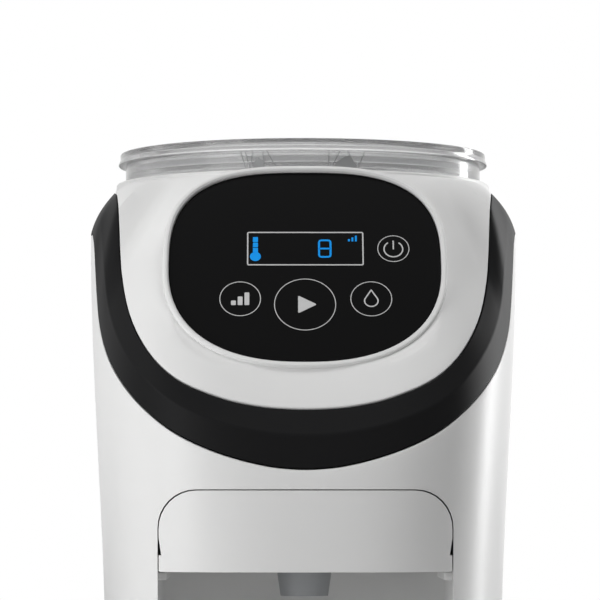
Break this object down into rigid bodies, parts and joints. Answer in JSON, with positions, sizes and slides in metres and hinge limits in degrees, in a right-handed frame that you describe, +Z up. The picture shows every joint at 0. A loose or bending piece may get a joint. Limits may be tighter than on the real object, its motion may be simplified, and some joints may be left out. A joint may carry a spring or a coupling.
{
  "type": "baby formula maker",
  "caption": "Counter-top machine that doses milk powder from a lidded container into a bottle in an open bay, with a slanted touch panel, dark collar and rear water tank.",
  "frame": {"origin": "on the vertical axis of the powder container, at the level of the surface that the feet stand on, which is also the bottom centre of the bounding box", "axes": "-Y is the front with the control panel and the bottle bay, +X is to the right of someone who faces the front, +Z is up"},
  "size_m": [0.1686, 0.275, 0.33],
  "materials": {
    "white_gloss": "gloss",
    "white_inner": "satin",
    "black_gloss": "gloss",
    "panel_black": "polished",
    "smoke_clear": "gloss",
    "tank_clear": "gloss",
    "grey_plastic": "satin",
    "dark_plastic": "matte",
    "foot_rubber": "matte",
    "silicone": "matte",
    "steel": "brushed",
    "aluminium": "satin",
    "brass": "satin",
    "circuit_board": "matte",
    "display_glass": "polished"
  },
  "bodies": {
    "machine": {"front_shell": "white_gloss", "rear_shell": "white_gloss", "head_surround": "white_gloss", "container_well": "white_inner", "mechanism_plate": "white_inner", "gearbox_housing": "white_inner", "powder_chute": "white_inner", "bay_liner": "white_inner", "collar": "black_gloss", "control_panel": "panel_black", "tank_dock": "grey_plastic", "base_plate": "dark_plastic", "power_inlet": "dark_plastic", "water_pump": "dark_plastic", "foot_front_left": "foot_rubber", "foot_front_right": "foot_rubber", "foot_rear_left": "foot_rubber", "foot_rear_right": "foot_rubber", "water_nozzle": "silicone", "dock_seal": "silicone", "hose_tank_to_pump": "silicone", "hose_pump_to_heater": "silicone", "hose_heater_to_nozzle": "silicone", "touch_spring_start": "steel", "touch_spring_powder": "steel", "touch_spring_volume": "steel", "touch_spring_power": "steel", "base_screw_1": "steel", "base_screw_2": "steel", "base_screw_3": "steel", "base_screw_4": "steel", "drive_motor": "steel", "water_heater": "aluminium", "output_bushing": "brass", "panel_board": "circuit_board", "main_board": "circuit_board", "power_supply": "circuit_board", "display_module": "display_glass"},
    "powder_container": {"powder_container": "smoke_clear", "powder_scraper": "grey_plastic"},
    "stirrer": {"metering_wheel": "grey_plastic", "agitator": "grey_plastic"},
    "powder_lid": {"powder_lid": "smoke_clear", "lid_seal": "silicone"},
    "output_gear": {"output_gear": "grey_plastic"},
    "motor_pinion": {"motor_pinion": "brass"},
    "water_tank": {"water_tank": "tank_clear", "tank_lid_pin": "steel"},
    "tank_lid": {"tank_lid": "smoke_clear"},
    "tank_valve": {"tank_valve": "silicone"},
    "funnel_drawer": {"funnel_cover": "white_gloss", "mixing_funnel": "grey_plastic"},
    "drip_tray": {"drip_tray": "white_gloss", "drip_grille": "steel"},
    "bottle_stand": {"bottle_stand": "white_gloss"}
  },
  "joints": [
    {"name": "container_lift", "type": "slide", "parent": "machine", "child": "powder_container", "axis": [0, 0, 1], "range_m": [0, 0.1]},
    {"name": "lid_lift", "type": "slide", "parent": "powder_container", "child": "powder_lid", "axis": [0, 0, 1], "range_m": [0, 0.08]},
    {"name": "stirrer_spin", "type": "hinge", "parent": "powder_container", "child": "stirrer", "pos_m": [0, 0, 0.2437], "axis": [0, 0, 1], "continuous": true},
    {"name": "gear_spin", "type": "hinge", "parent": "machine", "child": "output_gear", "pos_m": [0, 0, 0.211], "axis": [0, 0, 1], "continuous": true},
    {"name": "pinion_spin", "type": "hinge", "parent": "machine", "child": "motor_pinion", "pos_m": [0, 0.0345, 0.211], "axis": [0, 0, 1], "continuous": true},
    {"name": "tank_lift", "type": "slide", "parent": "machine", "child": "water_tank", "axis": [0, 0, 1], "range_m": [0, 0.2]},
    {"name": "tank_lid_hinge", "type": "hinge", "parent": "water_tank", "child": "tank_lid", "pos_m": [0, 0.127, 0.3118], "axis": [-1, 0, 0], "range_deg": [0, 100]},
    {"name": "valve_travel", "type": "slide", "parent": "water_tank", "child": "tank_valve", "axis": [0, 0, 1], "range_m": [0, 0.003]},
    {"name": "funnel_drawer_slide", "type": "slide", "parent": "machine", "child": "funnel_drawer", "axis": [0, -1, 0], "range_m": [0, 0.075]},
    {"name": "drip_tray_slide", "type": "slide", "parent": "machine", "child": "drip_tray", "axis": [0, -1, 0], "range_m": [0, 0.1]},
    {"name": "stand_height", "type": "slide", "parent": "machine", "child": "bottle_stand", "axis": [0, 0, 1], "range_m": [0, 0.045]}
  ],
  "couplings": [
    {"joint": "gear_spin", "follows": "stirrer_spin", "ratio": 1},
    {"joint": "pinion_spin", "follows": "stirrer_spin", "ratio": -3.6}
  ]
}
